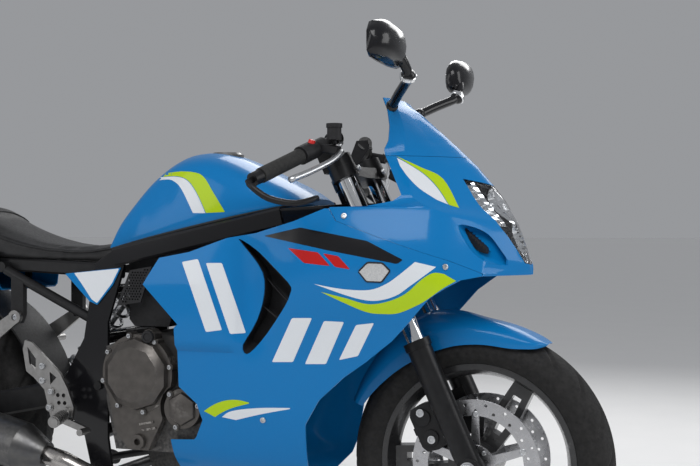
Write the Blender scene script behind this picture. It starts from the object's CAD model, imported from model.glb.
"""Looks of the motorcycle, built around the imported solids. Sizes here are millimetres in the frame of
the front axle: x forward from the axle, y to the left, z up from the floor."""
from math import acos, atan2, ceil, copysign, cos, exp, hypot, pi, radians, sin

import bmesh
import bpy
import numpy as np
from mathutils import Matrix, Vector
from mathutils.bvhtree import BVHTree

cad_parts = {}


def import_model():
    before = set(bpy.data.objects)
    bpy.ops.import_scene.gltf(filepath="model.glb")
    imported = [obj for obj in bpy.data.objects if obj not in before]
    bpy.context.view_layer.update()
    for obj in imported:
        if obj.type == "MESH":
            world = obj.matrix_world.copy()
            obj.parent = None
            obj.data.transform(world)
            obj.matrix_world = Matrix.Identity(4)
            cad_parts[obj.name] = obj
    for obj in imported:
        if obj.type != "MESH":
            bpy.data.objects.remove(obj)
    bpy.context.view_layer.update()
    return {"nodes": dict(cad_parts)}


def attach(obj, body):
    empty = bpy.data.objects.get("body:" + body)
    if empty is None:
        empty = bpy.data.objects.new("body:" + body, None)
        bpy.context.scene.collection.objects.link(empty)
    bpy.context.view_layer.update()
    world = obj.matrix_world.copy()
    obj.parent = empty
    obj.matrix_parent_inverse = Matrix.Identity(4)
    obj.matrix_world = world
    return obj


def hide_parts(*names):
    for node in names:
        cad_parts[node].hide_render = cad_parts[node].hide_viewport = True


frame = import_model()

AXLE_X = 765.0
MM = 0.001


def world(p):
    return Vector(((p[0] + AXLE_X) * MM, p[1] * MM, p[2] * MM))


def local(p):
    """The millimetres of a point that Blender gives in metres."""
    return vec(p[0] / MM - AXLE_X, p[1] / MM, p[2] / MM)


# Interpolation

def clamp01(t):
    return min(1.0, max(0.0, t))


def ramp(t):
    c = clamp01(t)
    return c * c * (3 - 2 * c)


def cubic(p, q, r, s, t):
    """Curve from q to r, with p before them and s after them."""
    bend = (2 * p - 5 * q + 4 * r - s) * t * t
    turn = (3 * q - p - 3 * r + s) * t ** 3
    return 0.5 * (2 * q + (r - p) * t + bend + turn)


def smooth(rows, n, closed=False):
    rows = [np.array(r, float) for r in rows]
    count = len(rows)
    out = []
    for i in range(count if closed else count - 1):
        if closed:
            ends = [rows[(i + k) % count] for k in (-1, 0, 1, 2)]
        else:
            ends = [rows[max(i - 1, 0)], rows[i], rows[i + 1], rows[min(i + 2, count - 1)]]
        out += [cubic(*ends, k / n) for k in range(n)]
    return out if closed else out + [rows[-1]]


def lookup(v, table):
    return float(np.interp(v, [r[0] for r in table], [r[1] for r in table]))


def blend(keys, values, v):
    last = len(keys) - 1
    i = min(max([0] + [k for k in range(last) if v >= keys[k]]), last - 1)
    t = clamp01((v - keys[i]) / (keys[i + 1] - keys[i]))
    return cubic(values[max(i - 1, 0)], values[i], values[i + 1], values[min(i + 2, last)], t)


def vec(*c):
    return np.array(c, float)


def unit(v):
    v = np.array(v, float)
    return v / np.linalg.norm(v)


def along(path, i):
    return unit(path[min(i + 1, len(path) - 1)] - path[max(i - 1, 0)])


def pairs(loop):
    return zip(loop, loop[1:] + loop[:1])


# Surfaces of the bodywork, from the same tables as the solids

BODY_X = [-740, -600, -530, -470, -400, -300, -150, -50, 40]
BODY_ROWS = [
    [225, 108, 124, 124, 122, 116, 104, 90, 80, 70],
    [299, 170, 184, 184, 182, 174, 158, 140, 120, 100],
    [389, 198, 212, 214, 213, 206, 190, 170, 150, 130],
    [464, 210, 222, 225, 225, 218, 205, 185, 165, 145],
    [540, 216, 228, 230, 230, 226, 217, 200, 178, 150],
    [600, 222, 234, 234, 226, 236, 232, 214, 190, 156],
    [660, 224, 237, 236, 226, 246, 248, 232, 208, 160],
    [710, 224, 238, 238, 228, 251, 257, 243, 218, 154],
    [757, 222, 237, 240, 234, 252, 260, 248, 214, 138],
    [804, 216, 232, 238, 240, 248, 253, 240, 203, 118],
    [872, 204, 220, 228, 232, 236, 236, 215, 178, 90]]
BODY_Z = [r[0] for r in BODY_ROWS]
BODY_TOP = 872
POD_STEP = 12
POD_LOW, POD_RISE = 546, 18
POD_FRONT, POD_RUN = -478, 34
POD_HIGH, POD_FALL = 690, 110
PANEL_T = 3.5
SEAM = 0.8
SECTION = 6


def body_w(x, z):
    """Half width of the bodywork, with the step of the pod behind the vent."""
    width = blend(BODY_Z, [blend(BODY_X, r[1:], x) for r in BODY_ROWS], z)
    step = POD_STEP * ramp((z - POD_LOW) / POD_RISE) * ramp((POD_FRONT - x) / POD_RUN)
    return width + step * (1 - ramp((z - POD_HIGH) / POD_FALL))


FAIRING_REAR = [
    [225, -655], [250, -690], [336, -693], [341, -628], [347, -621], [389, -599], [427, -611], [464, -657],
    [600, -657], [608, -647], [697, -740], [758, -701], [772, -621], [804, -524], [815, -452], [841, -361],
    [868, -293]]
FAIRING_FRONT = [
    [225, -405], [270, -365], [299, -359], [390, -352], [447, -317], [500, -258], [533, -210], [582, -148],
    [624, -108], [656, -80], [676, -62], [697, -31], [714, -3], [722, 36], [727, 37], [757, -29], [802, -157],
    [841, -265], [868, -283]]
VENT = [
    [-494, 802], [-448, 775], [-370, 708], [-366, 682], [-390, 642], [-448, 572], [-480, 545], [-489, 566],
    [-456, 623], [-436, 678], [-438, 727], [-482, 784]]
INDICATOR = [[-173 + a, 731 + b] for a, b in [[-34, 2], [-14, 21], [17, 20], [33, 4], [14, -20], [-18, -19]]]

NOSE_ROWS = [
    [722, 38, 148, 108, 28, 113],
    [742, 40, 145, 107, 35, 112],
    [762, 44, 132, 98, 46, 106],
    [800, 32, 128, 80, 60, 97],
    [840, -4, 160, 50, 70, 82],
    [870, -70, 190, 18, 71, 65],
    [897, -108, 199, -4, 71, 48],
    [937, -118, 160, -33, 72, 14],
    [965, -128, 140, -56, 72, -10],
    [985, -138, 130, -75, 71, -31],
    [1000, -144, 123, -89, 69, -47],
    [1020, -146, 116, -106, 65, -69],
    [1053, -154, 105, -131, 60, -105],
    [1090, -170, 92, -157, 52, -146],
    [1120, -193, 78, -188, 45, -184]]
NOSE_Z = [r[0] for r in NOSE_ROWS]
NOSE_REAR = [
    [722, 36, 148], [727, 38.8, 146], [757, -27.2, 205], [802, -155.2, 240], [841, -263.2, 235],
    [868, -281.2, 234], [871, -281.2, 233], [873, -200, 225], [884, -145, 210], [897, -128, 203],
    [930, -150, 176], [965, -171, 154], [985, -182, 147], [1000, -187, 142], [1020, -178, 137],
    [1053, -178, 127], [1090, -186, 115], [1120, -201, 99]]
NOSE_SIDES, NOSE_FRONTS = 14, 12
SCREEN_SEAM = 985


def nose_col(z, c):
    return blend(NOSE_Z, [r[c] for r in NOSE_ROWS], z)


def nose_curve(z):
    """Level curve of the nose from its right rear edge round to its left one."""
    xr = lookup(z, [r[:2] for r in NOSE_REAR])
    low = z <= BODY_TOP
    wr = body_w(xr, z) if low else lookup(z, [[r[0], r[2]] for r in NOSE_REAR])
    xs = max(nose_col(z, 1), xr + 4)
    ws = body_w(xs, z) if low else nose_col(z, 2)

    def flank(k, n):
        x = xr + (xs - xr) * k / n
        return vec(x, -(body_w(x, z) if low else wr + (ws - wr) * k / n), z)
    before = flank(5, 6)
    shoulder = vec(xs, -ws, z)
    lamp = vec(nose_col(z, 3), -nose_col(z, 4), z)
    tip = vec(nose_col(z, 5), 0.0, z)
    past = lamp * [1, -1, 1]
    half = [flank(k, NOSE_SIDES) for k in range(NOSE_SIDES)]
    half += [cubic(before, shoulder, lamp, tip, k / NOSE_FRONTS) for k in range(NOSE_FRONTS)]
    half += [cubic(shoulder, lamp, tip, past, k / NOSE_FRONTS) for k in range(NOSE_FRONTS + 1)]
    return half + [p * [1, -1, 1] for p in reversed(half[:-1])]


def inset(curve, d):
    out = []
    for i, p in enumerate(curve):
        t = along(curve, i)
        out.append(p + d * vec(-t[1], t[0], 0))
    return out


def arch(x, base, top, widths, shares):
    """Section at x with half widths at shares of its height, over the top and back along its flat floor."""
    half = [[w, base + s * (top - base)] for w, s in zip(widths, shares)]
    over = smooth(half + [[0, top]] + [[-p[0], p[1]] for p in reversed(half)], SECTION)
    floor = [[y, base] for y in np.linspace(-widths[0], widths[0], 9)[1:-1]]
    return [vec(x, p[0], p[1]) for p in over + floor]


RAIL_X, RAIL_Z = -330, 872
RAIL_H = 46
RAIL_FALL = 0.216
TANK_ROWS = [
    [-908, 800, 96, 100, 97, 82], [-882, 856, 104, 108, 104, 86], [-830, 922, 118, 122, 113, 92],
    [-790, 962, 127, 130, 118, 97], [-738, 996, 136, 140, 127, 107], [-690, 1009, 142, 147, 138, 118],
    [-630, 1008, 146, 152, 148, 126], [-570, 988, 147, 154, 152, 128], [-510, 960, 145, 152, 150, 124],
    [-460, 936, 137, 143, 140, 112], [-420, 914, 120, 126, 121, 92], [-394, 896, 92, 96, 92, 66]]
TANK_SHARES = (0, 0.14, 0.5, 0.82, 0.965)
FIT = 0.3


def tank_base(x):
    return RAIL_Z + (x - RAIL_X) * RAIL_FALL + RAIL_H / 2 * hypot(1, RAIL_FALL) + FIT


def tank_ring(r):
    return arch(r[0], tank_base(r[0]), r[1], (r[2], r[3], r[4], r[5], 0.5 * r[5]), TANK_SHARES)


SUB_LINE = [[-1700, 850], [-1230, 738], [-862, 722]]
SUB_HALF = 17 * hypot(470, 112) / 470
SEAT_W = 250
SEAT_ROWS = [
    [-1662, 884, 0.50, 0.30], [-1632, 902, 0.62, 0.46], [-1500, 900, 0.78, 0.64], [-1380, 890, 0.90, 0.76],
    [-1312, 876, 0.95, 0.80], [-1270, 848, 0.98, 0.84], [-1200, 818, 1.00, 0.90], [-1120, 794, 0.98, 0.91],
    [-1040, 783, 0.90, 0.80], [-970, 784, 0.79, 0.66], [-926, 791, 0.73, 0.58], [-909, 790, 0.68, 0.50]]
SEAT_SHARES = (0, 0.25, 0.68, 0.9, 0.99)
SEAT_TUCK = 4


def seat_base(x):
    return lookup(x, SUB_LINE) + SUB_HALF + FIT


def seat_ring(r, shrink):
    a = r[2] * SEAT_W / 2 - shrink
    b = r[3] * SEAT_W / 2 - shrink
    widths = (a - SEAT_TUCK, a, (a + b) / 2 + SEAT_TUCK, b, 0.5 * b)
    return arch(r[0], seat_base(r[0]), r[1] - shrink, widths, SEAT_SHARES)


TYRE_R = 300
RAKE = radians(24.5)
GUARD_ROWS = [
    [60, 312, 307, 30], [64, 313, 290, 60], [74, 316, 272, 68], [88, 323, 268, 69], [100, 344, 267, 69],
    [110, 356, 266, 69], [124, 350, 268, 69], [140, 334, 276, 69], [156, 324, 290, 66]]
GUARD_SHAPE = [(0, 1), (0.55, 0.98), (0.86, 0.72), (0.98, 0.36)]


def guard_curve(r, t):
    """Section of the mudguard on a ray from the axle, t inside its outer face."""
    c = r[1] - t
    w = r[3] - t
    e = r[2]
    half = [[e + (c - e) * up, w * out] for up, out in GUARD_SHAPE]
    over = smooth(half + [[c, 0]] + [[p[0], -p[1]] for p in reversed(half)], SECTION)
    a = radians(r[0])
    return [vec(p[0] * cos(a), p[1], TYRE_R + p[0] * sin(a)) for p in over]


# Materials

COAT_ROUGH = 0.11


def put(tree, node, values):
    """Fills inputs of a node: an output of another node is linked, anything else is a fixed value."""
    for key, value in values.items():
        if isinstance(value, bpy.types.NodeSocket):
            tree.links.new(value, node.inputs[key])
        else:
            node.inputs[key].default_value = value
    return node


def make(tree, kind, values):
    return put(tree, tree.nodes.new("ShaderNode" + kind), values)


def shader(name):
    mat = bpy.data.materials.new(name)
    mat.use_nodes = True
    tree = mat.node_tree
    tree.nodes.clear()
    bsdf = make(tree, "BsdfPrincipled", {})
    make(tree, "OutputMaterial", {"Surface": bsdf.outputs[0]})
    return mat, tree, bsdf, make(tree, "TexCoord", {}).outputs["Object"]


def noise(tree, at, scale, detail=4.0):
    return make(tree, "TexNoise", {"Scale": scale, "Detail": detail, "Vector": at}).outputs["Fac"]


def cells(tree, at, scale):
    return make(tree, "TexVoronoi", {"Scale": scale, "Vector": at}).outputs["Distance"]


def spread(tree, value, lo, hi, start=0.3, end=0.7):
    """Maps the range from start to end of a value to the range from lo to hi."""
    limits = {"From Min": start, "From Max": end, "To Min": lo, "To Max": hi}
    return make(tree, "MapRange", {"Value": value, **limits}).outputs["Result"]


def mixed(tree, factor, a, b):
    mix = tree.nodes.new("ShaderNodeMix")
    mix.data_type = "RGBA"
    first, second = [(*c, 1.0) if isinstance(c, tuple) else c for c in (a, b)]
    return put(tree, mix, {0: factor, 6: first, 7: second}).outputs[2]


def speckled(tree, at, scale, a, b):
    return mixed(tree, spread(tree, noise(tree, at, scale), 0, 1), a, b)


def relief(tree, bsdf, height, strength, depth_mm):
    bump = make(tree, "Bump", {"Strength": strength, "Distance": depth_mm * MM, "Height": height})
    put(tree, bsdf, {"Normal": bump.outputs["Normal"]})


def finish(name, colour, other, scale, rough, metal=0.0, coat=0.0, grain=None, wear=None, sheen=0.0,
           pores=None, shine=0.5):
    """Two-tone surface with varied gloss; grain and pores are (scale, depth in mm) of its relief, wear is
    the colour of rubbed edges."""
    mat, tree, bsdf, at = shader(name)
    tone = speckled(tree, at, scale, colour, other)
    if wear:
        edge = spread(tree, make(tree, "NewGeometry", {}).outputs["Pointiness"], 0, 1, 0.53, 0.60)
        patch = spread(tree, noise(tree, at, scale * 3), 0, 1, 0.4, 0.6)
        rubbed = make(tree, "Math", {0: edge, 1: patch})
        rubbed.operation = "MULTIPLY"
        tone = mixed(tree, rubbed.outputs[0], tone, wear)
    gloss = spread(tree, noise(tree, at, scale * 2.3), *rough)
    put(tree, bsdf, {"Base Color": tone, "Roughness": gloss, "Metallic": metal, "Sheen Weight": sheen,
                     "Specular IOR Level": shine})
    if coat:
        put(tree, bsdf, {"Coat Weight": coat, "Coat Roughness": COAT_ROUGH})
    if pores:
        relief(tree, bsdf, cells(tree, at, pores[0]), 0.5, pores[1])
    elif grain:
        relief(tree, bsdf, noise(tree, at, grain[0], 6.0), 0.6, grain[1])
    return mat


LACQUER = {"rough": (0.42, 0.55), "coat": 0.4, "grain": (260, 0.03), "shine": 0.08}
paint = finish("pearl_blue", (0.001, 0.160, 0.440), (0.001, 0.190, 0.500), 1400, **LACQUER)
lime = finish("lime_stripe", (0.42, 0.60, 0.006), (0.46, 0.64, 0.009), 900, **LACQUER)
white = finish("white_stripe", (0.70, 0.73, 0.77), (0.75, 0.78, 0.81), 900, **LACQUER)
red = finish("red_block", (0.46, 0.010, 0.010), (0.52, 0.014, 0.013), 900, **LACQUER)
gloss_black = finish("gloss_black", (0.006, 0.006, 0.007), (0.009, 0.009, 0.011), 700, (0.16, 0.28),
                     coat=0.45, grain=(240, 0.02), shine=0.15)
satin_black = finish("satin_black_metal", (0.008, 0.008, 0.009), (0.013, 0.013, 0.014), 60, (0.30, 0.44),
                     metal=0.1, grain=(900, 0.03), shine=0.3)
plastic = finish("moulded_plastic", (0.012, 0.012, 0.013), (0.018, 0.018, 0.020), 90, (0.48, 0.62),
                 pores=(1300, 0.06), shine=0.3)
grey_cast = finish("cast_alloy", (0.088, 0.081, 0.076), (0.120, 0.111, 0.103), 45, (0.34, 0.48), metal=0.8,
                   grain=(1500, 0.05), wear=(0.40, 0.38, 0.36))
brushed = finish("brushed_alloy", (0.27, 0.265, 0.26), (0.34, 0.335, 0.33), 70, (0.3, 0.44), metal=1.0,
                 grain=(1200, 0.04))
dark_cast = finish("dark_cast_alloy", (0.045, 0.045, 0.047), (0.075, 0.073, 0.07), 50, (0.45, 0.62),
                   metal=0.6, grain=(1300, 0.07), wear=(0.22, 0.21, 0.2))
bare = finish("bare_alloy", (0.52, 0.53, 0.55), (0.61, 0.62, 0.63), 70, (0.26, 0.4), metal=1.0,
              grain=(1200, 0.03))
steel = finish("zinc_steel", (0.40, 0.41, 0.43), (0.50, 0.51, 0.52), 80, (0.24, 0.38), metal=1.0,
               grain=(900, 0.02))
chrome = finish("hard_chrome", (0.78, 0.79, 0.80), (0.84, 0.85, 0.86), 60, (0.05, 0.12), metal=1.0,
                grain=(700, 0.006))
rim_paint = finish("rim_black", (0.012, 0.012, 0.013), (0.020, 0.020, 0.021), 60, (0.26, 0.4), coat=0.4,
                   grain=(500, 0.02), wear=(0.10, 0.10, 0.10))
rubber = finish("grip_rubber", (0.012, 0.012, 0.012), (0.024, 0.024, 0.023), 120, (0.7, 0.85),
                grain=(700, 0.12))
dark_metal = finish("dark_titanium", (0.10, 0.10, 0.105), (0.14, 0.138, 0.135), 40, (0.3, 0.42), metal=0.9,
                    grain=(900, 0.03), wear=(0.34, 0.33, 0.32))
tyre_rubber = finish("tyre_rubber", (0.010, 0.010, 0.010), (0.020, 0.019, 0.019), 70, (0.62, 0.82),
                     grain=(500, 0.15), shine=0.3)
vinyl = finish("seat_vinyl", (0.010, 0.010, 0.011), (0.018, 0.018, 0.019), 60, (0.42, 0.58), sheen=0.05,
               pores=(520, 0.35), shine=0.3)
thread = finish("stitch_thread", (0.05, 0.05, 0.055), (0.09, 0.09, 0.095), 600, (0.7, 0.85),
                grain=(3000, 0.1))
red_plastic = finish("switch_red", (0.55, 0.010, 0.008), (0.62, 0.016, 0.012), 300, (0.3, 0.42),
                     grain=(900, 0.04))
pale_lens = finish("indicator_lens", (0.42, 0.43, 0.44), (0.56, 0.56, 0.56), 300, (0.10, 0.22), coat=1.0,
                   pores=(190, 1.5))
floor_paper = finish("pale_floor", (0.945, 0.943, 0.938), (0.965, 0.962, 0.955), 3, (0.55, 0.7),
                     grain=(120, 0.05))


def see_through(name, tint, rough, ribs=None, depth_mm=0.4):
    mat, tree, bsdf, at = shader(name)
    tone = speckled(tree, at, 60, tint, tuple(0.93 * c for c in tint))
    gloss = spread(tree, noise(tree, at, 140), *rough)
    put(tree, bsdf, {"Base Color": tone, "Roughness": gloss, "Transmission Weight": 1.0, "IOR": 1.25})
    if ribs:
        relief(tree, bsdf, cells(tree, at, ribs), 0.7, depth_mm)
    return mat


clear = see_through("clear_lens", (0.95, 0.96, 0.97), (0.01, 0.04))
red_lens = see_through("red_lens", (0.55, 0.010, 0.010), (0.05, 0.12), 170, 1.0)


def turned_steel(name, centre):
    """Steel with fine rings about an axle along y."""
    mat, tree, bsdf, at = shader(name)
    shift = make(tree, "Mapping", {"Vector": at, "Location": [-c for c in world(centre)]})
    wave = make(tree, "TexWave", {"Vector": shift.outputs[0], "Scale": 160, "Distortion": 1.5})
    wave.wave_type = "RINGS"
    wave.rings_direction = "Y"
    rings = wave.outputs["Fac"]
    put(tree, bsdf, {"Base Color": mixed(tree, rings, (0.42, 0.42, 0.44), (0.55, 0.55, 0.56)),
                     "Roughness": spread(tree, noise(tree, at, 90), 0.22, 0.36), "Metallic": 1.0})
    relief(tree, bsdf, rings, 0.3, 0.05)
    return mat


def heated_steel(name):
    """Exhaust steel, straw and blue near the engine and plain further on."""
    mat, tree, bsdf, at = shader(name)
    height = make(tree, "SeparateXYZ", {0: at}).outputs["Z"]
    warm = speckled(tree, at, 14, (0.42, 0.31, 0.20), (0.30, 0.30, 0.40))
    heat = spread(tree, height, 0, 1, 0.25, 0.70)
    put(tree, bsdf, {"Base Color": mixed(tree, heat, (0.46, 0.44, 0.42), warm),
                     "Roughness": spread(tree, noise(tree, at, 60), 0.2, 0.36), "Metallic": 1.0})
    relief(tree, bsdf, noise(tree, at, 400), 0.4, 0.02)
    return mat


def finned(name):
    """Dark cooler core with close level fins."""
    mat, tree, bsdf, at = shader(name)
    wave = make(tree, "TexWave", {"Vector": at, "Scale": 70, "Distortion": 0.2})
    wave.bands_direction = "Z"
    fins = wave.outputs["Fac"]
    put(tree, bsdf, {"Base Color": mixed(tree, fins, (0.010, 0.010, 0.011), (0.07, 0.07, 0.075)),
                     "Roughness": spread(tree, noise(tree, at, 90), 0.45, 0.6), "Metallic": 0.4})
    relief(tree, bsdf, fins, 0.8, 1.5)
    return mat


# Mesh tools

def hexagon(a):
    return 0.87 / cos(a % (pi / 3) - pi / 6)


class Batch:
    """Points in millimetres and faces that become one piece."""

    def __init__(self):
        self.points = []
        self.faces = []

    def add(self, points, faces):
        base = len(self.points)
        self.points += [np.array(p, float) for p in points]
        self.faces += [[base + i for i in f] for f in faces]
        return self

    def loft(self, rings):
        """Closed body through rings of points."""
        n = len(rings[0])
        last = (len(rings) - 1) * n
        faces = []
        for i in range(0, last, n):
            for j in range(n):
                k = (j + 1) % n
                faces.append([i + j, i + k, i + k + n, i + j + n])
        faces += [list(range(n))[::-1], list(range(last, last + n))]
        return self.add([p for r in rings for p in r], faces)

    def shell(self, outer, inner):
        """Closed sheet between two grids of points."""
        n, m = len(outer[0]), len(outer)
        count = n * m
        faces = []
        for i in range(m - 1):
            for j in range(n - 1):
                a = i * n + j
                faces.append([a, a + 1, a + n + 1, a + n])
                faces.append([count + a, count + a + n, count + a + n + 1, count + a + 1])
        rim = [j for j in range(n)] + [i * n + n - 1 for i in range(1, m)]
        rim += [(m - 1) * n + j for j in range(n - 2, -1, -1)] + [i * n for i in range(m - 2, 0, -1)]
        faces += [[a, count + a, count + b, b] for a, b in pairs(rim)]
        return self.add([p for grid in (outer, inner) for r in grid for p in r], faces)

    def sheet(self, flat, surface, thickness):
        """Closed sheet over a filled outline; surface(u, v, d) is the point at depth d, or None off it."""
        points, faces = flat
        top = [surface(u, v, 0.0) for u, v in points]
        under = [surface(u, v, thickness) for u, v in points]
        faces = [f for f in faces if all(top[i] is not None for i in f)]
        used = sorted({i for f in faces for i in f})
        new = {i: k for k, i in enumerate(used)}
        n = len(used)
        count = {}
        for f in faces:
            for edge in pairs(f):
                count[frozenset(edge)] = count.get(frozenset(edge), 0) + 1
        out = [[new[i] for i in f] for f in faces]
        out += [[n + new[i] for i in reversed(f)] for f in faces]
        for f in faces:
            for a, b in pairs(f):
                if count[frozenset((a, b))] == 1:
                    out.append([new[b], new[a], n + new[a], n + new[b]])
        return self.add([top[i] for i in used] + [under[i] for i in used], out)

    def turn(self, profile, at, axis, segments, wobble=None):
        """Profile of (distance along the axis, radius) turned about the axis."""
        w = unit(axis)
        u = unit(np.cross(w, [0, 0, 1] if abs(w[2]) < 0.9 else [1, 0, 0]))
        v = np.cross(w, u)
        rings = []
        for h, r in profile:
            ring = []
            for k in range(segments):
                a = 2 * pi * k / segments
                rr = r * (wobble(a, r) if wobble else 1.0)
                ring.append(np.array(at, float) + w * h + rr * (cos(a) * u + sin(a) * v))
            rings.append(ring)
        return self.loft(rings)

    def tube(self, path, r, sides):
        path = [np.array(p, float) for p in path]
        up = vec(0.0, 0.0, 1.0)
        turns = np.arange(sides) * 2 * pi / sides
        rings = []
        for i, p in enumerate(path):
            t = along(path, i)
            if abs(np.dot(t, up)) > 0.95:
                up = vec(1.0, 0.0, 0.0)
            u = unit(np.cross(up, t))
            up = np.cross(t, u)
            rings.append([p + r * (cos(a) * u + sin(a) * up) for a in turns])
        return self.loft(rings)

    def prism(self, outline, to_point, depth):
        """Flat outline of (u, v) raised by depth, placed by to_point(u, v, w)."""
        n = len(outline)
        points = [to_point(u, v, w) for w in (0.0, depth) for u, v in outline]
        faces = [list(range(n))[::-1], [n + i for i in range(n)]]
        faces += [[i, (i + 1) % n, n + (i + 1) % n, n + i] for i in range(n)]
        return self.add(points, faces)

    def bolt(self, at, axis, r, h):
        """Cap screw with a rounded rim and a hexagon socket."""
        profile = [(-0.6, r), (h * 0.72, r), (h * 0.93, r * 0.9), (h, r * 0.78)]
        profile += [(h, r * 0.58), (h * 0.45, r * 0.5)]
        self.turn(profile, at, axis, 24, lambda a, rr: hexagon(a) if rr < 0.6 * r else 1.0)

    def nut(self, at, axis, r, h):
        """Hexagon nut on a washer, with the end of its bolt."""
        flats = [(1.6, 1.2 * r), (h * 0.86, 1.2 * r), (h, 1.02 * r)]
        self.turn([(0, 1.4 * r), (1.8, 1.4 * r)], at, axis, 32)
        self.turn(flats, at, axis, 24, lambda a, rr: hexagon(a))
        self.turn([(h - 1, 0.62 * r), (h + 2.4, 0.62 * r), (h + 3.2, 0.5 * r)], at, axis, 24)

    def both(self):
        """Adds the mirror image on the other side."""
        base = len(self.points)
        self.points += [p * [1, -1, 1] for p in self.points]
        self.faces += [[base + i for i in reversed(f)] for f in self.faces]
        return self


def shade(mesh, angle):
    for p in mesh.polygons:
        p.use_smooth = True
    mesh.set_sharp_from_angle(angle=radians(angle))


def place(name, data):
    obj = bpy.data.objects.new(name, data)
    bpy.context.scene.collection.objects.link(obj)
    return obj


def piece(name, batch, mat, slot, angle=35, body="chassis"):
    bm = bmesh.new()
    verts = [bm.verts.new(world(p)) for p in batch.points]
    for f in batch.faces:
        bm.faces.new([verts[i] for i in f])
    bmesh.ops.recalc_face_normals(bm, faces=bm.faces[:])
    mesh = bpy.data.meshes.new(name)
    bm.to_mesh(mesh)
    bm.free()
    shade(mesh, angle)
    mesh.materials.append(mat)
    obj = place(name, mesh)
    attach(obj, body)
    return obj


def fill(loops, step):
    """Flat mesh inside closed loops of (u, v), cut into a square grid."""
    bm = bmesh.new()
    for loop in loops:
        for ends in pairs([bm.verts.new((p[0], p[1], 0.0)) for p in loop]):
            bm.edges.new(ends)
    bmesh.ops.triangle_fill(bm, use_beauty=True, use_dissolve=False, edges=bm.edges[:])
    for e in bm.edges:
        e.seam = len(e.link_faces) == 2
    for axis in (0, 1):
        values = [p[axis] for loop in loops for p in loop]
        lo, hi = min(values), max(values)
        n = ceil((hi - lo) / step)
        normal = Vector((1, 0, 0)) if axis == 0 else Vector((0, 1, 0))
        for k in range(1, n):
            bmesh.ops.bisect_plane(bm, geom=bm.verts[:] + bm.edges[:] + bm.faces[:], dist=1e-5,
                                   plane_co=normal * (lo + k * (hi - lo) / n), plane_no=normal)
    inner = [e for e in bm.edges if e.seam and len(e.link_faces) == 2]
    bmesh.ops.dissolve_edges(bm, edges=inner, use_verts=False)
    loose = [v for v in bm.verts if len(v.link_edges) == 2 and not v.is_boundary]
    bmesh.ops.dissolve_verts(bm, verts=loose)
    odd = [f for f in bm.faces if len(f.verts) > 4]
    bmesh.ops.triangulate(bm, faces=odd)
    bm.verts.index_update()
    points = [(v.co.x, v.co.y) for v in bm.verts]
    faces = [[v.index for v in f.verts] for f in bm.faces]
    bm.free()
    return points, faces


def evaluated(obj):
    """Bakes the modifiers of a piece into its mesh."""
    deps = bpy.context.evaluated_depsgraph_get()
    mesh = bpy.data.meshes.new_from_object(obj.evaluated_get(deps))
    obj.modifiers.clear()
    old = obj.data
    obj.data = mesh
    bpy.data.meshes.remove(old)


def cut(obj, batch, angle=35):
    """Takes a closed batch out of a piece."""
    tool = piece("cutter", batch, paint, "blue_paint")
    mod = obj.modifiers.new("cut", "BOOLEAN")
    mod.solver = "EXACT"
    mod.object = tool
    evaluated(obj)
    bpy.data.objects.remove(tool)
    shade(obj.data, angle)


# The picture plane of the camera

LOOK_AT = vec(-319.0, 0.0, 815.0)
TURN = radians(20)
REACH = 2800.0
FOCAL = 1185.0
WIDE, HIGH = 700, 466
FORWARD = vec(-sin(TURN), cos(TURN), 0.0)
RIGHT = vec(cos(TURN), sin(TURN), 0.0)
EYE = LOOK_AT - REACH * FORWARD


def sight(px, py):
    return unit(FORWARD * FOCAL + RIGHT * (px - WIDE / 2) + vec(0, 0, 1.0) * (HIGH / 2 - py))


def tree_of(*objs):
    verts, faces = [], []
    for o in objs:
        base = len(verts)
        verts += [v.co.copy() for v in o.data.vertices]
        faces += [[base + i for i in p.vertices] for p in o.data.polygons]
    return BVHTree.FromPolygons(verts, faces)


def seen(tree, px, py):
    """Point and outward normal where a line of sight first meets the tree, in millimetres."""
    way = Vector(sight(px, py))
    at, normal, _, _ = tree.ray_cast(world(EYE), way)
    if at is None:
        return None, None
    return local(at), np.array(-normal if normal.dot(way) > 0 else normal)


def band(upper, lower):
    """Outline between two smooth edges that run the same way."""
    return smooth(upper, 5) + smooth(lower, 5)[::-1]


def eased(corners, r):
    """Straight-sided outline with its corners rounded by r."""
    out = []
    for i, c in enumerate(corners):
        c = np.array(c, float)
        a = c + r * unit(np.array(corners[i - 1], float) - c)
        b = c + r * unit(np.array(corners[(i + 1) % len(corners)], float) - c)
        out += [(1 - t) ** 2 * a + 2 * t * (1 - t) * c + t * t * b for t in (0, 0.33, 0.67, 1)]
    return out


def decal(name, outlines, tree, mat, slot="blue_paint", proud=0.45, step=4):
    """Thin painted figure laid on a panel where the picture shows it, and mirrored on the left."""
    def surface(u, v, d):
        p, n = seen(tree, u, v)
        return None if p is None else p + n * (proud - d)
    batch = Batch()
    for outline in outlines:
        batch.sheet(fill([outline], step), surface, proud - 0.05)
    piece(name, batch.both(), mat, slot, 60)


# Painted panels

CORNER = 3
PANEL_STEP = 14
FILLER_AT, FILLER_R = (-640, 0, 990), 42
GUARD_T = 3
GUARD_BOSS = [(0, 7), (8, 7), (8.6, 6.4)]
GUARD_BOSS_R, GUARD_BOSS_Y = (276, 292), 62
LAMP_CUT_X, LAMP_CUT = -60, 200
INTAKE_CUT_Y, INTAKE_CUT = 84, 170


def side_panel(name, side, solid):
    outline = [[x, z] for z, x in FAIRING_REAR] + [[x, z] for z, x in reversed(FAIRING_FRONT)]

    def surface(u, v, d):
        return vec(u, side * (body_w(u, v) - d), v)
    flat = fill([outline, smooth(VENT, CORNER, closed=True), INDICATOR], PANEL_STEP)
    obj = piece(name, Batch().sheet(flat, surface, PANEL_T), paint, "blue_paint", 32)
    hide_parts(solid)
    return obj


right_panel = side_panel("side_panel_right", -1, "side_fairing_right")
side_panel("side_panel_left", 1, "side_fairing_left")

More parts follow.
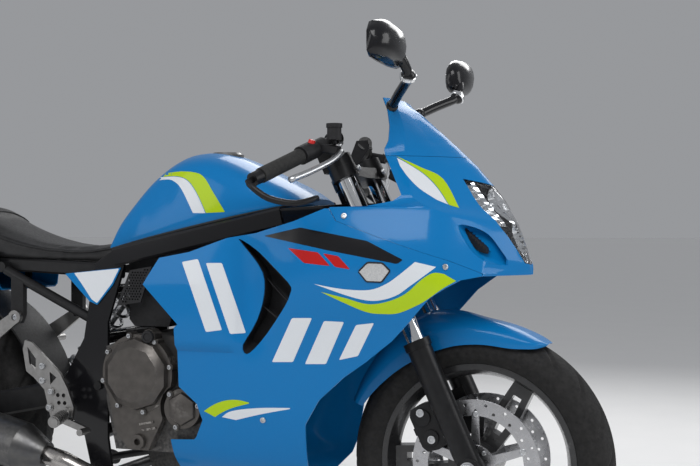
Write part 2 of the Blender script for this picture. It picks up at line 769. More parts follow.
COWL_LEVELS = [
    722, 727, 734, 742, 750, 757, 764, 770, 778, 785, 793, 802, 811, 820, 830, 841, 848, 855, 862, 868, 871,
    873, 875, 878, 881, 884, 890, 897, 904, 912, 921, 930, 939, 948, 957, 965, 975, SCREEN_SEAM]
SCREEN_LEVELS = [SCREEN_SEAM + SEAM] + list(np.linspace(993, 1120, 20))
LINING_LEVELS = np.linspace(968, 1120, 24)
LINING_GAP, LINING_T = 0.3, 0.7
LAMP_TOP, LAMP_FOOT = 921, 743
LAMP_HALF = [[66, 936], [72, 880], [70, 826], [60, 792], [36, 748]]
INTAKE = [[-14, 831], [10, 829], [40, 812], [64, 780], [80, 748], [62, 746], [26, 763], [2, 794]]


def lamp_outline(d):
    """Outline of the lamp's opening in y and z, drawn in by d."""
    half = [[y - d, z - (1.5 * d if z > 900 else -d if z < 760 else 0)] for y, z in LAMP_HALF]
    return [[0, LAMP_TOP - d]] + half + [[0, LAMP_FOOT + d]] + [[-y, z] for y, z in reversed(half)]


def nose_shell(levels, outside=0.0, inside=PANEL_T):
    """Skin of the nose through level curves, between two depths."""
    curves = [nose_curve(z) for z in levels]
    outer = [inset(c, outside) for c in curves] if outside else curves
    return Batch().shell(outer, [inset(c, inside) for c in curves])


cowl = piece("cowl_shell", nose_shell(COWL_LEVELS), paint, "blue_paint", 30)
nose_whole = tree_of(cowl)
cut(cowl, Batch().prism(lamp_outline(0), lambda u, v, w: vec(LAMP_CUT_X + w, u, v), LAMP_CUT))
for side in (-1, 1):
    def from_side(u, v, w, side=side):
        return vec(u, side * (INTAKE_CUT_Y + w), v)
    cut(cowl, Batch().prism(smooth(INTAKE, CORNER, closed=True), from_side, INTAKE_CUT))
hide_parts("upper_cowl")
screen = piece("screen_shell", nose_shell(SCREEN_LEVELS), paint, "screen", 30)
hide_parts("windscreen")
lining = nose_shell(LINING_LEVELS, PANEL_T + LINING_GAP, PANEL_T + LINING_GAP + LINING_T)
piece("nose_lining", lining, plastic, "black_plastic", 40)

tank_batch = Batch().loft([tank_ring(r) for r in smooth(TANK_ROWS, 6)])
tank = piece("tank_shell", tank_batch, paint, "tank_paint", 40)
cut(tank, Batch().turn([(0, FILLER_R), (60, FILLER_R)], FILLER_AT, (0, 0, 1), 64), 40)
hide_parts("fuel_tank")

guard_rows = smooth(GUARD_ROWS, 6)
guard_batch = Batch().shell(*[[guard_curve(r, t) for r in guard_rows] for t in (0, GUARD_T)])
for side in (-1, 1):
    for r in GUARD_BOSS_R:
        at = (-r * sin(RAKE), side * GUARD_BOSS_Y, TYRE_R + r * cos(RAKE))
        guard_batch.turn(GUARD_BOSS, at, (0, side, 0), 24)
guard = piece("mudguard_shell", guard_batch, paint, "blue_paint", 40, "steering")
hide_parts("front_mudguard")

# Stripes and blocks

FINE = {"proud": 0.6, "step": 2}
side_tree = tree_of(right_panel)
nose_tree = tree_of(cowl, screen)
tank_tree = tree_of(tank)
decal("tank_lime", [band([(157, 175), (180, 171.5), (197, 173), (205, 178.5), (213, 192), (225, 212)],
                         [(161, 177), (177, 176.3), (188, 180.5), (197, 193), (206, 213)])],
      tank_tree, lime, "tank_paint")
decal("tank_white", [band([(160, 177.4), (177, 176.8), (187.6, 181), (196.5, 193.5), (205.4, 213.2)],
                          [(149, 182), (167, 179.5), (175, 182), (182, 190), (193, 213)])],
      tank_tree, white, "tank_paint")
decal("cowl_lime", [band([(396, 156), (420, 167), (443, 179), (459, 208)],
                         [(408, 163.4), (425, 174.6), (438, 188), (449, 205)])], nose_tree, lime, **FINE)
decal("cowl_white", [band([(397, 158), (408, 164), (424.6, 175.2), (437.5, 188.6), (448, 204.6)],
                          [(400, 166), (408, 177), (420, 189), (437, 200)])], nose_tree, white, **FINE)
decal("side_white", [band([(314, 284), (342, 289), (369, 290), (386, 284), (399, 275), (415, 262)],
                          [(342, 294), (361, 299.4), (378, 300.6), (396, 295.6), (410, 286), (428, 273),
                           (436, 267)])], side_tree, white)
decal("side_lime", [band([(321, 292), (345, 298), (367, 304), (386, 302), (405, 294), (421, 280), (433, 273),
                          (444, 274)],
                         [(342, 302), (366, 312), (383, 314), (399, 313), (418, 305), (428, 299), (442, 289),
                          (456, 281)])], side_tree, lime)
decal("side_wedge", [eased([(264, 236), (300, 227.5), (367, 241), (403, 260), (397, 264), (326, 250)], 2)],
      side_tree, gloss_black, "black_paint")
decal("side_red", [eased([(288, 248), (318, 252.5), (330, 266), (304, 263)], 1.5),
                   eased([(323, 253.4), (338, 256), (350, 269.4), (335, 266.8)], 1.5)], side_tree, red)
decal("lower_lime", [band([(204, 411), (214, 404.5), (226, 400.4), (238, 400), (249, 402.6)],
                          [(215, 417), (223, 412), (234, 407.4), (249, 403.6)])], side_tree, lime)
decal("lower_white", [band([(222, 417), (232, 411), (259, 408), (290, 408)],
                           [(236, 420), (262, 414), (290, 409)])], side_tree, white)
BARS = [[(182, 262), (198, 259), (222, 330), (206, 332)], [(206, 263), (222, 263), (246, 333), (230, 334)],
        [(292, 318), (312, 318), (293, 362), (272, 362)], [(324, 321), (344, 322), (326, 364), (305, 364)],
        [(356, 325), (374, 323), (358, 356), (339, 360)]]
decal("side_bars", [eased(b, 1.5) for b in BARS], side_tree, white, proud=0.7, step=2)

# Liners behind the vents, the intakes and the lamp

LINER_WALL, LINER_LIP, LINER_LAP = 2.0, 3.7, 0.4
VENT_DEEP, VENT_SHRINK = 44, 0.84
INTAKE_DEEP, INTAKE_SHRINK = 40, 0.88
BLADES = [((-446, 768), (-380, 712)), ((-432, 716), (-376, 664)), ((-444, 652), (-398, 622))]
BLADE = [(0, 12, 1.2), (-3, 38, -5), (-4, 38, -7.4), (0, 12, -1.2)]
SCOOP_FRONT, SCOOP_RUN, SCOOP_RIM = 86, 100, 6
THROAT_AT, THROAT_SCALE = vec(18.0, 797.0), [0.56, 0.62]
THROAT_UP, THROAT_T = 1.5, 1.2
FAR = 400


def cast(start, way):
    """Place where a ray meets the outside of the nose before its openings are cut."""
    return local(nose_whole.ray_cast(world(start), Vector(way))[0])


def nose_front(y, z):
    return cast((FAR, y, z), (-1, 0, 0))[0]


def tub(outline, surface, deep, shrink):
    """Open tray behind a hole; surface(p, q, d) is the place at q, at depth d under the skin at p."""
    centre = np.mean(np.array(outline), axis=0)

    def ring(d, scale, grow):
        out = []
        for p in outline:
            q = centre + (np.array(p) - centre) * scale
            out.append(surface(p, q + unit(np.array(p) - centre) * grow, d))
        return out
    return Batch().loft([ring(deep + LINER_WALL, shrink, LINER_WALL), ring(LINER_LIP, 1.0, LINER_WALL),
                         ring(LINER_LIP, 1.0, -LINER_LAP), ring(deep, shrink, 0)])


def vent_surface(p, q, d):
    return vec(q[0], -(body_w(p[0], p[1]) - d), q[1])


def scoop_surface(p, q, d):
    """Floor of the scoop, shallow in front and deep at the rear."""
    fall = clamp01((SCOOP_FRONT - q[0]) / SCOOP_RUN)
    y = cast((p[0], -FAR, p[1]), (0, 1, 0))[1]
    return vec(q[0], y + (d if d < SCOOP_RIM else SCOOP_RIM + (d - SCOOP_RIM) * fall), q[1])


def throat_surface(u, v, d):
    nearest = min(scoop_outline, key=lambda p: hypot(p[0] - u, p[1] - v))
    return scoop_surface(nearest, (u, v), INTAKE_DEEP - THROAT_UP + d)


vents = tub(smooth(VENT, 4, closed=True), vent_surface, VENT_DEEP, VENT_SHRINK)
for a, b in BLADES:
    rings = []
    for t in np.linspace(0, 1, 7):
        x, z = a[0] + (b[0] - a[0]) * t, a[1] + (b[1] - a[1]) * t
        y = -body_w(x, z)
        rings.append([vec(x + dx, y + dy, z + dz) for dx, dy, dz in BLADE])
    vents.loft(rings)
piece("vent_liners", vents.both(), plastic, "black_plastic", 40)

scoop_outline = smooth(INTAKE, 4, closed=True)
scoop_centre = np.mean(np.array(scoop_outline), axis=0)
ducts = tub(scoop_outline, scoop_surface, INTAKE_DEEP, INTAKE_SHRINK)
piece("intake_scoops", ducts.both(), paint, "blue_paint", 50)
throat_outline = [THROAT_AT + (np.array(p) - scoop_centre) * THROAT_SCALE for p in scoop_outline]
throat = Batch().sheet(fill([throat_outline], 6), throat_surface, THROAT_T)
piece("intake_throats", throat.both(), plastic, "black_plastic", 50)

BOWLS = [(0, 874, 41, 60), (0, 800, 36, 48)]
BULB = [(0, 9), (14, 9), (22, 8), (30, 7), (33, 5), (34.5, 2)]
LAMP_GAP, LAMP_STEP = 1.4, 3
REFLECTOR_IN, REFLECTOR_T = 9, 2.0
MASK_IN, MASK_T = 8.0, 2.5
FLUTES, FLUTE_H = 12, 1.2
WING_Y, WING_LOW, WING_HIGH = 44, 828, 930
CELL, CELL_H = 15.0, 8
BUCKET_X, BUCKET_Z, BUCKET_SCALE, BUCKET_T = -68, 840, 0.86, 2


def lamp_depth(y, z):
    """Depth of the reflectors behind the nose, and whether they are bright there."""
    for cy, cz, r, deep in BOWLS:
        rho = hypot(y - cy, z - cz)
        if rho < r:
            flute = FLUTE_H * cos(FLUTES * atan2(z - cz, y - cy)) * (rho / r)
            return REFLECTOR_IN + deep * (1 - (rho / r) ** 2) + flute, True
    if abs(y) > WING_Y and WING_LOW < z < WING_HIGH:
        return REFLECTOR_IN + CELL_H * (((z - WING_LOW) / CELL) % 1.0), True
    return MASK_IN, False


def lamp_surface(u, v, d):
    return vec(nose_front(u, v) - lamp_depth(u, v)[0] - d, u, v)


def lamp_part(bright):
    points, faces = flat_lamp
    return points, [f for f in faces if lamp_depth(*np.mean([points[i] for i in f], axis=0))[1] == bright]


def bucket_ring(back, grow):
    """Ring of the bucket at its back or its front, drawn in by grow."""
    scale = BUCKET_SCALE if back else 1.0
    out = []
    for y, z in bucket_outline:
        x = BUCKET_X + BUCKET_T - grow if back else nose_front(y, z) - REFLECTOR_IN
        out.append(vec(x, (y - copysign(grow, y)) * scale, BUCKET_Z + (z - BUCKET_Z) * scale))
    return out


flat_lamp = fill([lamp_outline(SEAM + LAMP_GAP)], LAMP_STEP)
mask = Batch().sheet(lamp_part(False), lamp_surface, MASK_T)
corners = [np.array(p) for p in lamp_outline(SEAM + BUCKET_T)]
bucket_outline = [a + (b - a) * t for a, b in pairs(corners) for t in (0, 0.25, 0.5, 0.75)]
mask.loft([bucket_ring(True, 0), bucket_ring(False, 0), bucket_ring(False, BUCKET_T),
           bucket_ring(True, BUCKET_T)])
lamp_mask = piece("lamp_mask", mask, plastic, "black_plastic", 30)
bright = Batch().sheet(lamp_part(True), lamp_surface, REFLECTOR_T)
for cy, cz, r, deep in BOWLS:
    bright.turn(BULB, (nose_front(cy, cz) - deep - REFLECTOR_IN, cy, cz), (1, 0, 0), 24)
piece("lamp_reflectors", bright, chrome, "chrome", 25)
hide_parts("headlamp")

# Tyres with their tread

BEAD = 216
TREAD_STEPS = 420
TREAD_IN, TREAD_OUT, TREAD_DEEP = 0.06, 0.43, 3.6
RIB_IN, RIB_OUT, RIB_DEEP = 0.465, 0.49, 1.2
REAR_AXLE = (-1470, 332)


def tyre(name, solid, centre, radius, width, rim_w, repeats, body):
    wall = radius - BEAD
    half = [[BEAD, rim_w / 2 - 4.5], [BEAD + 7.5, rim_w / 2 - 2.5]]
    half += smooth([[BEAD + 7.8, rim_w / 2 - 1], [BEAD + wall * 0.42, width * 0.495],
                    [BEAD + wall * 0.68, width * 0.46], [BEAD + wall * 0.88, width * 0.30], [radius, 0]], 9)
    profile = half + [[p[0], -p[1]] for p in reversed(half[:-1])]
    profile += [[BEAD + 8, -width * 0.30], [BEAD + 8, width * 0.30]]
    n = len(profile)
    points, faces = [], []
    for k in range(TREAD_STEPS):
        a = 2 * pi * k / TREAD_STEPS
        here, ahead = k * n, (k + 1) % TREAD_STEPS * n
        for j, (r, y) in enumerate(profile):
            share = abs(y) / width
            if TREAD_IN < share < TREAD_OUT and r > BEAD + wall * 0.6:
                lane = (repeats * k / TREAD_STEPS + 1.5 * share + (0.5 if y > 0 else 0.0)) % 1.0
                ends = ramp((share - TREAD_IN) / 0.04) * ramp((TREAD_OUT - share) / 0.05)
                r = r - TREAD_DEEP * ends * (1 - ramp((abs(lane - 0.5) - 0.055) / 0.02))
            if RIB_IN < share < RIB_OUT and r > BEAD + 20 and (k // 3) % 2:
                y = y - copysign(RIB_DEEP, y)
            points.append((centre[0] + r * cos(a), y, centre[1] + r * sin(a)))
            beside = (j + 1) % n
            faces.append([here + j, here + beside, ahead + beside, ahead + j])
    obj = piece(name, Batch().add(points, faces), tyre_rubber, "tyre", 40, body)
    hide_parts(solid)


tyre("front_tyre_tread", "front_tyre", (0, TYRE_R), 300, 120, 98, 20, "front_wheel")
tyre("rear_tyre_tread", "rear_tyre", REAR_AXLE, 312, 160, 126, 18, "rear_wheel")

# Seat: foam under a stretched cover

COVER_GAP, COVER_SWELL = 4.0, 5.0
COVER_VOXEL, COVER_PRESSURE, COVER_FRAMES = 0.006, 4.0, 20
HELD_H = 9
WELT_R, WELT_UP, WELT_PROUD = 2.3, 0.70, 0.8
STITCH_R, STITCH_IN, STITCH_UP = 0.8, 0.94, 6
CROSS_X, CROSS_Y, CROSS_Z = -1296, 96, 880
CROSS_BOW, CROSS_DROP = 20, 30


def swell(obj, cap_mm):
    """Lets the cover swell under pressure, held at its base."""
    remesh = obj.modifiers.new("even", "REMESH")
    remesh.mode = "VOXEL"
    remesh.voxel_size = COVER_VOXEL
    evaluated(obj)
    mesh = obj.data
    rest = np.array([v.co[:] for v in mesh.vertices])
    held = obj.vertex_groups.new(name="held")
    low = [i for i, p in enumerate(rest) if p[2] / MM < seat_base(p[0] / MM - AXLE_X) + HELD_H]
    held.add(low, 1.0, "REPLACE")
    cloth = obj.modifiers.new("cover", "CLOTH")
    cloth.settings.use_pressure = True
    cloth.settings.uniform_pressure_force = COVER_PRESSURE
    cloth.settings.effector_weights.gravity = 0.0
    cloth.settings.vertex_group_mass = "held"
    scene = bpy.context.scene
    for f in range(1, COVER_FRAMES + 1):
        scene.frame_set(f)
    deps = bpy.context.evaluated_depsgraph_get()
    swollen = np.array([v.co[:] for v in obj.evaluated_get(deps).data.vertices])
    obj.modifiers.clear()
    scene.frame_set(1)
    move = swollen - rest
    size = np.linalg.norm(move, axis=1, keepdims=True)
    move = move * np.minimum(1.0, cap_mm * MM / np.maximum(size, 1e-9))
    for v, p in zip(mesh.vertices, rest + move):
        v.co = p


seat_rows = smooth(SEAT_ROWS, 8)
pad = Batch().loft([seat_ring(r, COVER_GAP) for r in seat_rows])
seat = piece("seat_pad", pad, vinyl, "seat_cover", 60)
swell(seat, COVER_SWELL)
soft = seat.modifiers.new("round", "SUBSURF")
soft.levels = 1
soft.render_levels = 1
evaluated(seat)
shade(seat.data, 60)
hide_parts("seat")
seat_tree = tree_of(seat)


def on_seat(x, y, z):
    at, normal, _, _ = seat_tree.find_nearest(world((x, y, z)))
    return local(at), np.array(normal)


welts, stitches = Batch(), Batch()
for side in (-1, 1):
    line = []
    for r in seat_rows[2:-2]:
        base = seat_base(r[0])
        p, n = on_seat(r[0], side * (r[2] + r[3]) / 2 * SEAT_W / 2, base + WELT_UP * (r[1] - base))
        line.append(p + n * WELT_PROUD)
    welts.tube(smooth(line, 2), WELT_R, 8)
    stops = smooth(line, 4)
    for p, q in zip(stops[::2], stops[1::2]):
        a, n = on_seat(p[0], p[1] * STITCH_IN, p[2] + STITCH_UP)
        b, _ = on_seat(q[0], q[1] * STITCH_IN, q[2] + STITCH_UP)
        stitches.tube([a + n * 0.3, (a + b) / 2 + n * 0.9, b + n * 0.3], STITCH_R, 6)
cross = []
for t in np.linspace(-1, 1, 25):
    p, n = on_seat(CROSS_X + CROSS_BOW * t * t, t * CROSS_Y, CROSS_Z - CROSS_DROP * t * t)
    cross.append(p + n * WELT_PROUD)
welts.tube(cross, WELT_R, 8)
piece("seat_welts", welts, vinyl, "seat_cover", 60)
piece("seat_stitches", stitches, thread, "seat_cover", 60)

# Chain of plates and rollers

PITCH = 15.875
DRIVE, AXLE = vec(-836.0, 462.0), vec(-1470.0, 332.0)
DRIVE_TEETH, AXLE_TEETH = 15, 46
CHAIN_Y = 95
PLATE_R, PLATE_T, PLATE_WAIST = 6.4, 1.8, 0.25
INNER_Y, OUTER_Y = (-6.5, 4.7), (-8.6, 6.8)
PIN = [(-8.9, 2.6), (8.9, 2.6)]
ROLLER = [(-4.6, 4.8), (4.6, 4.8)]


def pitch_r(teeth):
    return PITCH / 2 / sin(pi / teeth)


def arc(centre, r, start, sweep, count):
    return [centre + r * vec(cos(start + t), sin(start + t)) for t in np.linspace(0, sweep, count)]


def belt(step):
    """Points of the pitch line at even steps, as near the pitch as closes the loop."""
    ra, rb = pitch_r(DRIVE_TEETH), pitch_r(AXLE_TEETH)
    lean = atan2(*(AXLE - DRIVE)[::-1])
    wide = acos((ra - rb) / np.linalg.norm(AXLE - DRIVE))
    line = arc(DRIVE, ra, lean + wide, 2 * pi - 2 * wide, 40) + arc(AXLE, rb, lean - wide, 2 * wide, 90)
    line = np.array(line + line[:1])
    length = np.concatenate([[0], np.cumsum(np.linalg.norm(np.diff(line, axis=0), axis=1))])
    count = 2 * round(length[-1] / step / 2)
    at = np.linspace(0, length[-1], count + 1)[:-1]
    return [vec(np.interp(s, length, line[:, 0]), np.interp(s, length, line[:, 1])) for s in at]


plates = Batch()
for i, (p, q) in enumerate(pairs(belt(PITCH))):
    d = unit(q - p)
    n = vec(-d[1], d[0])
    span = np.linalg.norm(q - p)
    shape = []
    for t in np.linspace(0, 2 * pi, 21)[:-1]:
        end = span if cos(t) > 0 else 0.0
        waist = 1.0 - PLATE_WAIST * exp(-(cos(t) / 0.25) ** 2)
        shape.append((end + PLATE_R * cos(t), PLATE_R * waist * sin(t)))
    for y0 in OUTER_Y if i % 2 else INNER_Y:
        def to_link(u, v, w):
            c = p + d * u + n * v
            return vec(c[0], CHAIN_Y + y0 + w, c[1])
        plates.prism(shape, to_link, PLATE_T)
    plates.turn(PIN, (p[0], CHAIN_Y, p[1]), (0, 1, 0), 8)
    plates.turn(ROLLER, (p[0], CHAIN_Y, p[1]), (0, 1, 0), 10)
chain = piece("chain_links", plates, steel, "steel", 40)
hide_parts("chain")

# Perforated side grilles

MESH_AT = [np.array(p, float) for p in ((-825, 726), (-766, 736), (-796, 650), (-861, 640))]
MESH_Y, MESH_T = 149, 4
HOLE_X, HOLE_Z, HOLE_DX, HOLE_DZ = -862, 644, 7.4, 6.4
HOLE_R, HOLE_EDGE = 2.5, 5.5


def inside(p, margin):
    for a, b in pairs(MESH_AT):
        d = unit(b - a)
        if d[0] * (p[1] - a[1]) - d[1] * (p[0] - a[0]) > -margin:
            return False
    return True


holes = []
for row in range(16):
    for col in range(14):
        c = vec(HOLE_X + col * HOLE_DX + (HOLE_DX / 2 if row % 2 else 0), HOLE_Z + row * HOLE_DZ)
        if inside(c, HOLE_EDGE):
            turns = np.arange(6) * pi / 3 + pi / 6
            holes.append([c + HOLE_R * vec(cos(t), sin(t)) for t in turns])
grilles = Batch().sheet(fill([MESH_AT] + holes, 400), lambda u, v, d: vec(u, -(MESH_Y - d), v), MESH_T)
grille = piece("grille_mesh", grilles.both(), plastic, "black_plastic", 30)
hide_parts("side_grilles")

# Screws, nuts and other small hardware

LEG_Y = 102
DISC_Y, REAR_DISC_Y = 60.8, -66.8
BAR_IN, BAR_OUT = vec(-317.9, 104.0, 1029.9), vec(-403.9, 352.0, 929.9)
LEG_AXIS = (-sin(RAKE), 0, cos(RAKE))
LEFT = (0, 1, 0)
CLUTCH, CRANK, GENERATOR = (-777, 486), (-658, 410), (-668, 430)
HEEL_BOLTS = [((-1027, 212, 496), 8, 5), ((-1027, 212, 461), 8, 5), ((-1006, 215, 398), 7, 4),
              ((-1002, 215, 436), 7, 4), ((-1150, 147, 606), 7.6, 5)]
FLASH = [(-975, 718), (-850, 730), (-870, 694), (-911, 646), (-926, 655), (-952, 690)]
FLASH_Y, FLASH_T = 156, 0.5
PANEL_SCREWS = [(344, 216), (445, 267), (263, 420)]
COVER_BOLT = (5.6, 5)
OIL_CAP = [(-1, 15), (6, 15), (8, 13.5), (8.4, 9), (6.6, 8.5)]
DISC_BUTTON = [(-4.2, 6), (-3.4, 7.5), (3.4, 7.5), (4.2, 6), (4.2, 4), (3.2, 3.6)]
VALVE = [(0, 6), (8, 4.5), (20, 4), (20, 5), (30, 5), (31.5, 3.6)]
VALVE_WAY, VALVE_R = vec(cos(radians(66)), 0, sin(radians(66))), 196
FORK_CAP, FORK_CAP_Z = [(0, 9), (9, 9), (10, 8), (10, 3), (7, 3)], 748
CALIPER_BOLTS_Z, CLAMP_BOLTS_Z = (84, 148), (562, 714)
STOP_KNOB = [(18, 8), (26, 8), (28, 6.8), (28.4, 3)]
BUTTON = [(18, 5.5), (24, 5.5), (25, 4.6), (25.2, 2)]
COLLAR = [(-5, 17.6), (-3.4, 19), (3.4, 19), (5, 17.6)]


def on_fork(x, y, z):
    return vec(x * cos(RAKE) - z * sin(RAKE), y, TYRE_R + x * sin(RAKE) + z * cos(RAKE))


def on_bar(y):
    return BAR_IN + (BAR_OUT - BAR_IN) * (y - BAR_IN[1]) / (BAR_OUT[1] - BAR_IN[1])


def around(centre, r, count, start):
    """Places in x and z on a circle of bolts."""
    turns = [radians(start + k * 360 / count) for k in range(count)]
    return [(centre[0] + r * cos(a), centre[1] + r * sin(a)) for a in turns]


heel_bolts = Batch()
for at, r, h in HEEL_BOLTS:
    heel_bolts.bolt(at, LEFT, r, h)
piece("heel_bolts", heel_bolts.both(), steel, "steel", 30)
flash = Batch().prism(eased(FLASH, 3), lambda u, v, w: vec(u, FLASH_Y + w, v), FLASH_T)
piece("cover_white", flash.both(), white, "blue_paint", 30)
screws = Batch()
body_tree = tree_of(right_panel, cowl)
for px, py in PANEL_SCREWS:
    screws.bolt(*seen(body_tree, px, py), 6.5, 3.2)
piece("panel_screws", screws.both(), bare, "steel", 30)

cover_bolts = Batch()
for centre, r, count, start, y in ((CLUTCH, 90, 8, 12, -201.3), (CRANK, 44, 3, 12, -203.3),
                                   (GENERATOR, 80, 6, -12, 198.3)):
    for x, z in around(centre, r, count, start):
        if centre != CLUTCH or hypot(x - CRANK[0], z - CRANK[1]) > 66:
            cover_bolts.bolt((x, y, z), (0, copysign(1, y), 0), *COVER_BOLT)
piece("cover_bolts", cover_bolts, steel, "steel", 30)
cap = Batch().turn(OIL_CAP, (CLUTCH[0] + 34, -204.3, CLUTCH[1] + 88), (0, -1, 0), 72,
                   lambda a, r: 1 + 0.035 * cos(12 * a) if r > 13 else 1.0)
piece("filler_cap", cap, plastic, "black_plastic", 40)


def disc_buttons(centre, y, r):
    """Floating buttons at a radius r on a disc, and the bolts of its hub."""
    batch = Batch()
    for x, z in around(centre, r, 5, 90):
        batch.turn(DISC_BUTTON, (x, y, z), LEFT, 20)
    for x, z in around(centre, 33, 5, 126):
        batch.bolt((x, y + copysign(2.5, y), z), (0, y, 0), 5.5, 4.5)
    return batch


front_buttons = disc_buttons((0, TYRE_R), DISC_Y, 112).both()
piece("front_disc_buttons", front_buttons, bare, "steel", 30, "front_wheel")
piece("rear_disc_buttons", disc_buttons(REAR_AXLE, REAR_DISC_Y, 87), bare, "steel", 30, "rear_wheel")
for end, (x, z) in (("front", (0, TYRE_R)), ("rear", REAR_AXLE)):
    valve = Batch().turn(VALVE, vec(x, 0, z) + VALVE_R * VALVE_WAY, -VALVE_WAY, 20)
    piece(end + "_valve", valve, rubber, "rubber", 40, end + "_wheel")

fork_bolts = Batch()
for z in CALIPER_BOLTS_Z:
    fork_bolts.bolt(on_fork(-29, DISC_Y + 20, z), LEFT, 6.5, 6)
    fork_bolts.bolt(on_fork(-64, DISC_Y + 25, z + 4), LEFT, 9, 2)
fork_bolts.nut((0, LEG_Y + 30, TYRE_R), LEFT, 13, 11)
for z in CLAMP_BOLTS_Z:
    fork_bolts.bolt(on_fork(31, LEG_Y - 14, z), on_fork(1, 0, 0) - on_fork(0, 0, 0), 6.5, 6)
fork_bolts.turn(FORK_CAP, on_fork(0, LEG_Y, FORK_CAP_Z), LEG_AXIS, 24)
fork_bolts.bolt(on_bar(160) + [52, 6, 1], (0, 0, 1), 7, 4)
piece("fork_hardware", fork_bolts.both(), bare, "steel", 30, "steering")

stop = Batch().turn(STOP_KNOB, on_bar(190) * [1, -1, 1], (0.33, 0, 0.95), 28)
piece("stop_switch", stop, red_plastic, "red_lens", 40, "steering")
buttons = Batch()
for y in (184, 200):
    buttons.turn(BUTTON, on_bar(y), (-0.94, 0, 0.34), 24)
piece("switch_buttons", buttons.both(), rubber, "rubber", 40, "steering")

collars = Batch().turn(COLLAR, (-112, 206, 1150), (0.35, 0.62, 0.7), 40)
piece("mirror_collars", collars.both(), chrome, "chrome", 30)
edge = [vec(x, -(body_w(x, z) + 0.4), z) for x, z in INDICATOR]
edge_line = [a + (b - a) * t for a, b in pairs(edge) for t in (0.06, 0.94)]
lens_rims = Batch().tube(edge_line + edge[:1], 2.2, 8)
piece("indicator_rims", lens_rims.both(), plastic, "black_plastic", 50)
lip_line = [(r[0], r[2] + 1.0, tank_base(r[0]) + 4.4) for r in smooth(TANK_ROWS, 4)]
piece("tank_lip", Batch().tube(lip_line, 4.0, 10).both(), rubber, "rubber", 60)

# Instruments: three dials with marks and needles

DIALS = [(0, 26), (-58, 23), (58, 23)]
DIAL_X, DIAL_Z = -186, 965.0
DIAL_OUT, DIAL_UP = vec(-0.938, 0, 0.347), vec(0.347, 0, 0.938)
MARKS, MARK_START, MARK_STEP = 21, -130, 13
NEEDLE_TURN = -118


def pointer(degrees, near, far, half_near, half_far):
    """Straight mark on a dial from one radius to another, with its half widths at both."""
    a = radians(degrees)
    u, v = vec(sin(a), cos(a)), vec(cos(a), -sin(a))
    ends = ((near, half_near), (near, -half_near), (far, -half_far), (far, half_far))
    return [p * u + q * v for p, q in ends]


bezels, dial_faces, marks, needles = Batch(), Batch(), Batch(), Batch()
for y, r in DIALS:
    centre = vec(DIAL_X, y, DIAL_Z)

    def on_dial(u, v, w):
        return centre + DIAL_UP * v + vec(0, 1, 0) * u + DIAL_OUT * w
    bezels.turn([(-1, r), (5, r), (6.4, r - 1.4), (5, r - 3), (0.8, r - 3.4)], centre, DIAL_OUT, 48)
    dial_faces.turn([(0.4, r - 3.2), (1.6, r - 3.2)], centre, DIAL_OUT, 48)
    for k in range(MARKS):
        long, half = (9, 0.7) if k % 5 == 0 else (6.5, 0.4)
        mark = pointer(MARK_START + MARK_STEP * k, r - long, r - 4.4, half, half)
        marks.prism(mark, lambda p, q, w: on_dial(p, q, w + 1.6), 0.4)
    needle = pointer(NEEDLE_TURN, -5, r - 7, 1.3, 0.4)
    needles.prism(needle, lambda p, q, w: on_dial(p, q, w + 2.4), 0.6)
    needles.turn([(1.2, 3), (3.6, 3), (4, 2.4)], centre, DIAL_OUT, 20)
piece("dial_bezels", bezels, chrome, "chrome", 30)
piece("dial_faces", dial_faces, plastic, "black_plastic", 30)
piece("dial_marks", marks, white, "indicator_lens", 30)
piece("dial_needles", needles, red_plastic, "red_lens", 30)

# Materials of the solids that stay in view

WELD = 0.00002
BEVEL_TURN = 38


def dress(solid, mat, bevel):
    obj = frame["nodes"][solid]
    obj.data.materials.clear()
    obj.data.materials.append(mat)
    for p in obj.data.polygons:
        p.use_smooth = True
        p.material_index = 0
    weld = obj.modifiers.new("weld", "WELD")
    weld.merge_threshold = WELD
    if bevel:
        edge = obj.modifiers.new("edge", "BEVEL")
        edge.width = bevel * MM
        edge.segments = 2
        edge.limit_method = "ANGLE"
        edge.angle_limit = radians(BEVEL_TURN)
    even = obj.modifiers.new("even", "WEIGHTED_NORMAL")
    even.keep_sharp = False


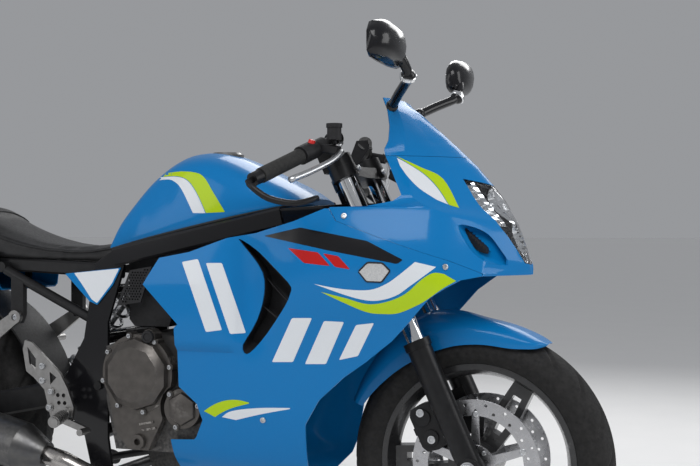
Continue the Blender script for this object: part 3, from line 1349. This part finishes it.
FINISHES = [
    (gloss_black, 1.5, "frame"), (gloss_black, 0, "mirrors"), (satin_black, 0, "grab_rail lever_guards"),
    (satin_black, 1, "side_stand"), (satin_black, 1.2, "fork_sliders handlebars"),
    (satin_black, 1.5, "subframe fork_clamps centre_stand"), (satin_black, 2, "swingarm rear_caliper"),
    (satin_black, 3, "front_calipers"), (plastic, 0, "inner_panel"),
    (plastic, 1, "inner_mudguard rear_mudguard"), (plastic, 2, "airbox switchgear"),
    (plastic, 4, "instruments"), (steel, 0, "rear_shock"), (steel, 0.6, "rear_sprocket"),
    (dark_cast, 3, "engine_block"), (grey_cast, 2.5, "engine_covers"),
    (dark_metal, 2, "muffler"), (brushed, 1.5, "fuel_cap"), (brushed, 1.2, "footrests"),
    (paint, 0.8, "tail_cowl side_covers"), (clear, 0, "headlamp_lens"), (pale_lens, 0.8, "indicators"),
    (red_lens, 1, "tail_lamp"), (chrome, 0, "mirror_glass"), (chrome, 0.8, "fork_tubes"),
    (rim_paint, 1.5, "front_rim rear_rim"), (rubber, 1.5, "grips"), (bare, 0, "levers"),
    (finned("cooler_core"), 1, "radiator"), (heated_steel("exhaust_steel"), 0, "exhaust_pipes"),
    (turned_steel("rear_disc_steel", (-1470, 0, 332)), 0.4, "rear_disc"),
    (turned_steel("front_disc_steel", (0, 0, 300)), 0.4, "front_discs")]
for mat, bevel, solids in FINISHES:
    for solid in solids.split():
        dress(solid, mat, bevel)

# Camera, floor and light

SENSOR = 36.0
FLOOR_REACH = 200000
SKY, SKY_LIGHT = (0.86, 0.88, 0.92, 1.0), 0.36
LAMPS = [
    ("key", (1.2, -2.6, 3.2), (0.2, 0, 0.7), (2.6, 1.6), 66),
    ("fill", (-2.6, -2.8, 1.9), (-0.2, 0, 0.6), (2.2, 2.2), 24),
    ("back", (0.4, 3.0, 2.8), (0.2, 0, 0.7), (3.0, 1.4), 54),
    ("nose", (3.4, 0.4, 1.8), (0.6, 0, 0.7), (1.6, 1.6), 22)]

camera = place("camera", bpy.data.cameras.new("camera"))
camera.data.sensor_width = SENSOR
camera.data.lens = FOCAL / WIDE * SENSOR
camera.location = world(EYE)
camera.rotation_euler = (pi / 2, 0, atan2(-FORWARD[0], FORWARD[1]))
bpy.context.scene.camera = camera

floor_mesh = bpy.data.meshes.new("floor")
floor_corners = [(a * FLOOR_REACH, b * FLOOR_REACH, 0) for a, b in ((-1, -1), (1, -1), (1, 1), (-1, 1))]
floor_mesh.from_pydata([world(p) for p in floor_corners], [], [[0, 1, 2, 3]])
floor_mesh.materials.append(floor_paper)
floor = place("floor", floor_mesh)

for name, at, target, size, power in LAMPS:
    light = bpy.data.lights.new(name, "AREA")
    light.shape = "RECTANGLE"
    light.size, light.size_y = size
    light.energy = power
    lamp = place(name, light)
    lamp.location = at
    lamp.rotation_euler = (Vector(target) - Vector(at)).to_track_quat("-Z", "Y").to_euler()
studio = bpy.data.worlds.new("studio")
bpy.context.scene.world = studio
studio.use_nodes = True
sky = studio.node_tree.nodes["Background"]
put(studio.node_tree, sky, {0: SKY, 1: SKY_LIGHT})
bpy.context.scene.view_settings.view_transform = "Standard"
